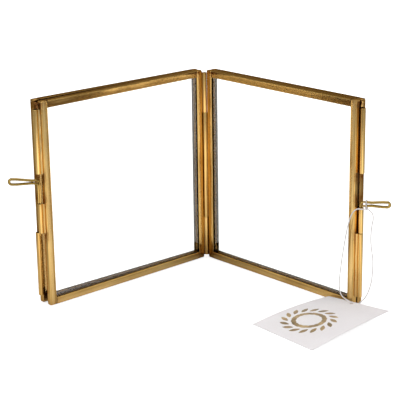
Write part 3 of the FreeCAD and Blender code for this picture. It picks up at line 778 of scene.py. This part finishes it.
# A frame hinge is two end knuckles on the front frame and a middle one on the back frame.
HINGE_SEAM, END_LONG, MIDDLE_LONG, CLEARANCE = 2.0, 8.0, 13.6, 0.15
for side, lows in (("left", (36.1, 104.7)), ("right", (2.0, 70.6))):
    ends, middles = [], []
    for low in lows:
        middle_low = low + END_LONG + CLEARANCE
        for z in (low, middle_low + MIDDLE_LONG + CLEARANCE):
            ends += soldered(INNER, PARTING, -1, (HINGE_U, HINGE_V), HINGE_RADII, z, END_LONG,
                             HINGE_SEAM, z)
        middles += soldered(INNER, PARTING, 1, (HINGE_U, HINGE_V), HINGE_RADII, middle_low,
                            MIDDLE_LONG, HINGE_SEAM, low)
    for kind, shells, layer in (("end", ends, "front"), ("middle", middles, "back")):
        made = mesh_piece(f"{side}_frame_hinge_{kind}_tubes",
                          on_stand(shells, gaps[side, layer], hands[side]),
                          bodies[side, layer], tube_brass, lay_start=41.0)
        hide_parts(f"{side}_frame_hinge_{kind}_knuckles")

pin_brass, shader = new_finish("pin_brass", Metallic=1.0, Roughness=0.3,
                               Base_Color=(0.50, 0.31, 0.10, 1.0))
for node in ("spine_pin", "left_frame_hinge_pins", "right_frame_hinge_pins"):
    frame["nodes"][node].material_slots[0].material = pin_brass


# ---- The two latch pins ----
# One length of hard brass wire, folded double. Its two legs of 1.15 mm go down through the
# latch tubes. Its middle, left thicker at 1.8 mm, is bent over into a flat loop, the handle.


def bent_wire(points, radii):
    """Straight runs joined by arcs: each arc goes from a to b about its centre as the sum of
    sin((1-t) x angle) a + sin(t x angle) b, over sin(angle)."""
    points = np.asarray(points, float)
    before = points[:-2] - points[1:-1]
    after = points[2:] - points[1:-1]
    before /= np.linalg.norm(before, axis=1, keepdims=True)
    after /= np.linalg.norm(after, axis=1, keepdims=True)
    half = np.arccos(np.clip(np.sum(before * after, 1), -1, 1)) / 2
    radii = np.asarray(radii, float)
    start = points[1:-1] + before * (radii / np.tan(half))[:, None]
    stop = points[1:-1] + after * (radii / np.tan(half))[:, None]
    middle = before + after
    middle /= np.linalg.norm(middle, axis=1, keepdims=True)
    centre = points[1:-1] + middle * (radii / np.sin(half))[:, None]
    angle = (np.pi - 2 * half)[:, None, None]
    t = np.linspace(0, 1, 14)[None, :, None]
    arcs = centre[:, None] + (np.sin((1 - t) * angle) * (start - centre)[:, None]
                              + np.sin(t * angle) * (stop - centre)[:, None]) / np.sin(angle)
    return np.concatenate([points[:1], arcs.reshape(-1, points.shape[1]), points[-1:]])


def refined(path, longest):
    """Puts points on a path no further apart than the longest step, and closer at its ends."""
    steps = np.linalg.norm(np.diff(path, axis=0), axis=1)
    path = path[np.concatenate([[True], steps > 1e-6])]
    steps = np.linalg.norm(np.diff(path, axis=0), axis=1)
    along = np.concatenate([[0.0], np.cumsum(steps)])
    extra = np.linspace(0, along[-1], int(along[-1] / longest))
    near = np.array([0.1, 0.25, 0.45])
    wanted = np.unique(np.round(np.concatenate([along, extra, near, along[-1] - near]), 3))
    return np.stack([np.interp(wanted, along, path[:, k]) for k in range(path.shape[1])], 1)


wire_brass = aged_brass(
    "wire_brass", (0.20, 0.12, 0.025), (0.42, 0.28, 0.075), (0.66, 0.48, 0.18), 0.2, (0.5, 18.0))
HANDLE_RADIUS = 0.9
# Up from the handle's middle line: half its width at the root, the foot of the legs, and half
# of the short straight at its tip.
ROOT_HALF, LEG_END, TIP_HALF = 1.42, -33.8, 0.0575

# Each pin's leaf, the way its handle points, the height of the handle, how far out the throat
# is, half its width, half the loop's width and the handle's reach.
pins = {
    "left_latch_pin": ("left", np.array([-1.0, 0.0, 0.0]), 83.92, 3.9, 0.85, 1.7, 19.9),
    "right_latch_pin": ("right", right_out, right_height, 6.6, 1.04, 1.55, 18.9),
}
for node, (side, out, height, throat, throat_half, loop_half, reach) in pins.items():
    axis = on_leaf((CATCH_U, CATCH_V, 0.0), hands[side])
    end = reach - HANDLE_RADIUS
    widest = end - loop_half - 3.0
    turn_radius = loop_half - TIP_HALF
    path = refined(bent_wire(
        [(-WIRE_RADIUS, LEG_END), (-WIRE_RADIUS, ROOT_HALF), (throat, throat_half),
         (widest, loop_half), (end, loop_half), (end, -loop_half), (widest, -loop_half),
         (throat, -throat_half), (WIRE_RADIUS, -ROOT_HALF), (WIRE_RADIUS, LEG_END)],
        [2.3, 8, 8, turn_radius, turn_radius, 8, 8, 1.0]), 2.5)
    line_points = axis + MM * (path[:, :1] * out + (path[:, 1:] + height) * upward)
    swell = np.clip((path[:, 0] - 1.0) / 3.0, 0, 1)
    thick = WIRE_RADIUS + (HANDLE_RADIUS - WIRE_RADIUS) * swell ** 2 * (3 - 2 * swell) - 0.02
    rings = round_bar(line_points, thick, 24, np.cross(upward, out), end_length=0.3)
    marks = np.zeros(rings.shape[:2] + (4,))
    marks[..., WEAR_AND_HIGHLIGHT] = 1.3 * np.clip(-(path[:, 1] + 1.5) / 1.5, 0, 1)[:, None]
    marks[..., TONE] = 0.5
    made = mesh_piece(f"{side}_wire_pin", [(rings, marks, False)], f"{side}_pin",
                      wire_brass, 50.0)
    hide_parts(node)


# ---- The table and the light ----
# A white table top and sweep under soft white lamps: one over each shoulder of the viewer and one
# overhead. The lamps stay level. The white of the ground comes from its own colour and from a glow
# of its own that the eye and rays through glass see; mirroring surfaces see a glow too, a painted
# reflection.


def backdrop_rays(finish):
    """How much of the backdrop's white a ray sees, 1 from the camera and 1.35 through glass,
    and whether it comes from a mirroring surface."""
    rays = add_node(finish, "LightPath").outputs
    return (sums(finish, "MULTIPLY_ADD", rays["Is Transmission Ray"], 1.35,
                 rays["Is Camera Ray"]), rays["Is Glossy Ray"])


def between(finish, value, start, stop, low, high, how="LINEAR"):
    """Leads a value between start and stop over to a value between low and high."""
    return add_node(finish, "MapRange", {
        "Value": value, "From Min": start, "From Max": stop, "To Min": low, "To Max": high},
        interpolation_type=how).outputs["Result"]


def distance(finish, place):
    """How far a place is from its origin."""
    return add_node(finish, "VectorMath", {0: place}, operation="LENGTH").outputs["Value"]


# Painted reflection: metal sees the ground glow bright in front of the stand and dark further off,
# a glow that no lamp gives.
ground, shader = new_finish("white_sweep", Roughness=0.9, Base_Color=(0.80, 0.80, 0.80, 1.0))
seen, mirrored = backdrop_rays(ground)
spot = add_node(ground, "TexCoord").outputs["Object"]
in_front = stretched(ground, spot, (1.0, 1.0, 1.0), (-0.02, 0.29, 0.0))
near = between(ground, distance(ground, in_front), 0.04, 0.42, 0.85, -0.30, "SMOOTHSTEP")
white = between(ground, distance(ground, spot), 0.25, 1.2, 0.7, 1.5)
glow = add_node(ground, "Emission", {"Color": (1.0, 1.0, 1.0, 1.0), "Strength": sums(
    ground, "MULTIPLY_ADD", seen, white, sums(ground, "MULTIPLY", mirrored, near))})
both = add_node(ground, "AddShader", {0: shader.outputs["BSDF"], 1: glow.outputs["Emission"]})
ground.node_tree.links.new(
    both.outputs["Shader"], ground.node_tree.nodes["Material Output"].inputs["Surface"])
TABLE_HALF, TABLE_TOP = 4.0, -0.0002
table_mesh = bpy.data.meshes.new("table_top")
table_mesh.from_pydata([(TABLE_HALF * x, TABLE_HALF * y, TABLE_TOP)
                        for x, y in ((-1, -1), (1, -1), (1, 1), (-1, 1))], [], [(0, 1, 2, 3)])
table_mesh.materials.append(ground)
table_top = bpy.data.objects.new("table_top", table_mesh)
bpy.context.scene.collection.objects.link(table_top)

# The sky is white to the eye. Metal sees it bright near the horizon and dimmer above.
sky = bpy.data.worlds.new("studio")
bpy.context.scene.world = sky
sky.use_nodes = True
seen, mirrored = backdrop_rays(sky)
way = add_node(sky, "SeparateXYZ", {
    "Vector": add_node(sky, "TexCoord").outputs["Generated"]}).outputs
level_light = 0.5
behind = between(sky, way["Z"], 0.06, 0.26, 1.0, 0.35, "SMOOTHSTEP")
strength = sums(sky, "MULTIPLY_ADD", mirrored, sums(sky, "SUBTRACT", behind, level_light),
                level_light)
strength = sums(sky, "MAXIMUM", strength, seen)
back = sky.node_tree.nodes["Background"]
back.inputs["Color"].default_value = (1.0, 1.0, 1.0, 1.0)
sky.node_tree.links.new(strength, back.inputs["Strength"])

for name, place, power in (
        ("lamp_left", (-1.0, -0.9, 0.9), 5.0),
        ("lamp_right", (1.1, -0.7, 0.8), 4.0),
        ("lamp_over", (0.0, 0.1, 1.2), 4.5)):
    lamp = bpy.data.lights.new(name, "AREA")
    lamp.size = 0.9
    lamp.energy = power
    lamp_object = bpy.data.objects.new(name, lamp)
    towards_stand = np.array([0.0, 0.0, 0.07]) - np.array(place)
    towards_stand /= np.linalg.norm(towards_stand)
    side_way = np.cross(towards_stand, (0.0, 1.0, 0.01))
    side_way /= np.linalg.norm(side_way)
    lamp_object.matrix_world = Matrix([[*row, at] for row, at in zip(
        np.stack([side_way, np.cross(side_way, towards_stand), -towards_stand], 1), place)]
        + [[0, 0, 0, 1]])
    bpy.context.scene.collection.objects.link(lamp_object)

bpy.context.scene.view_settings.view_transform = "Standard"
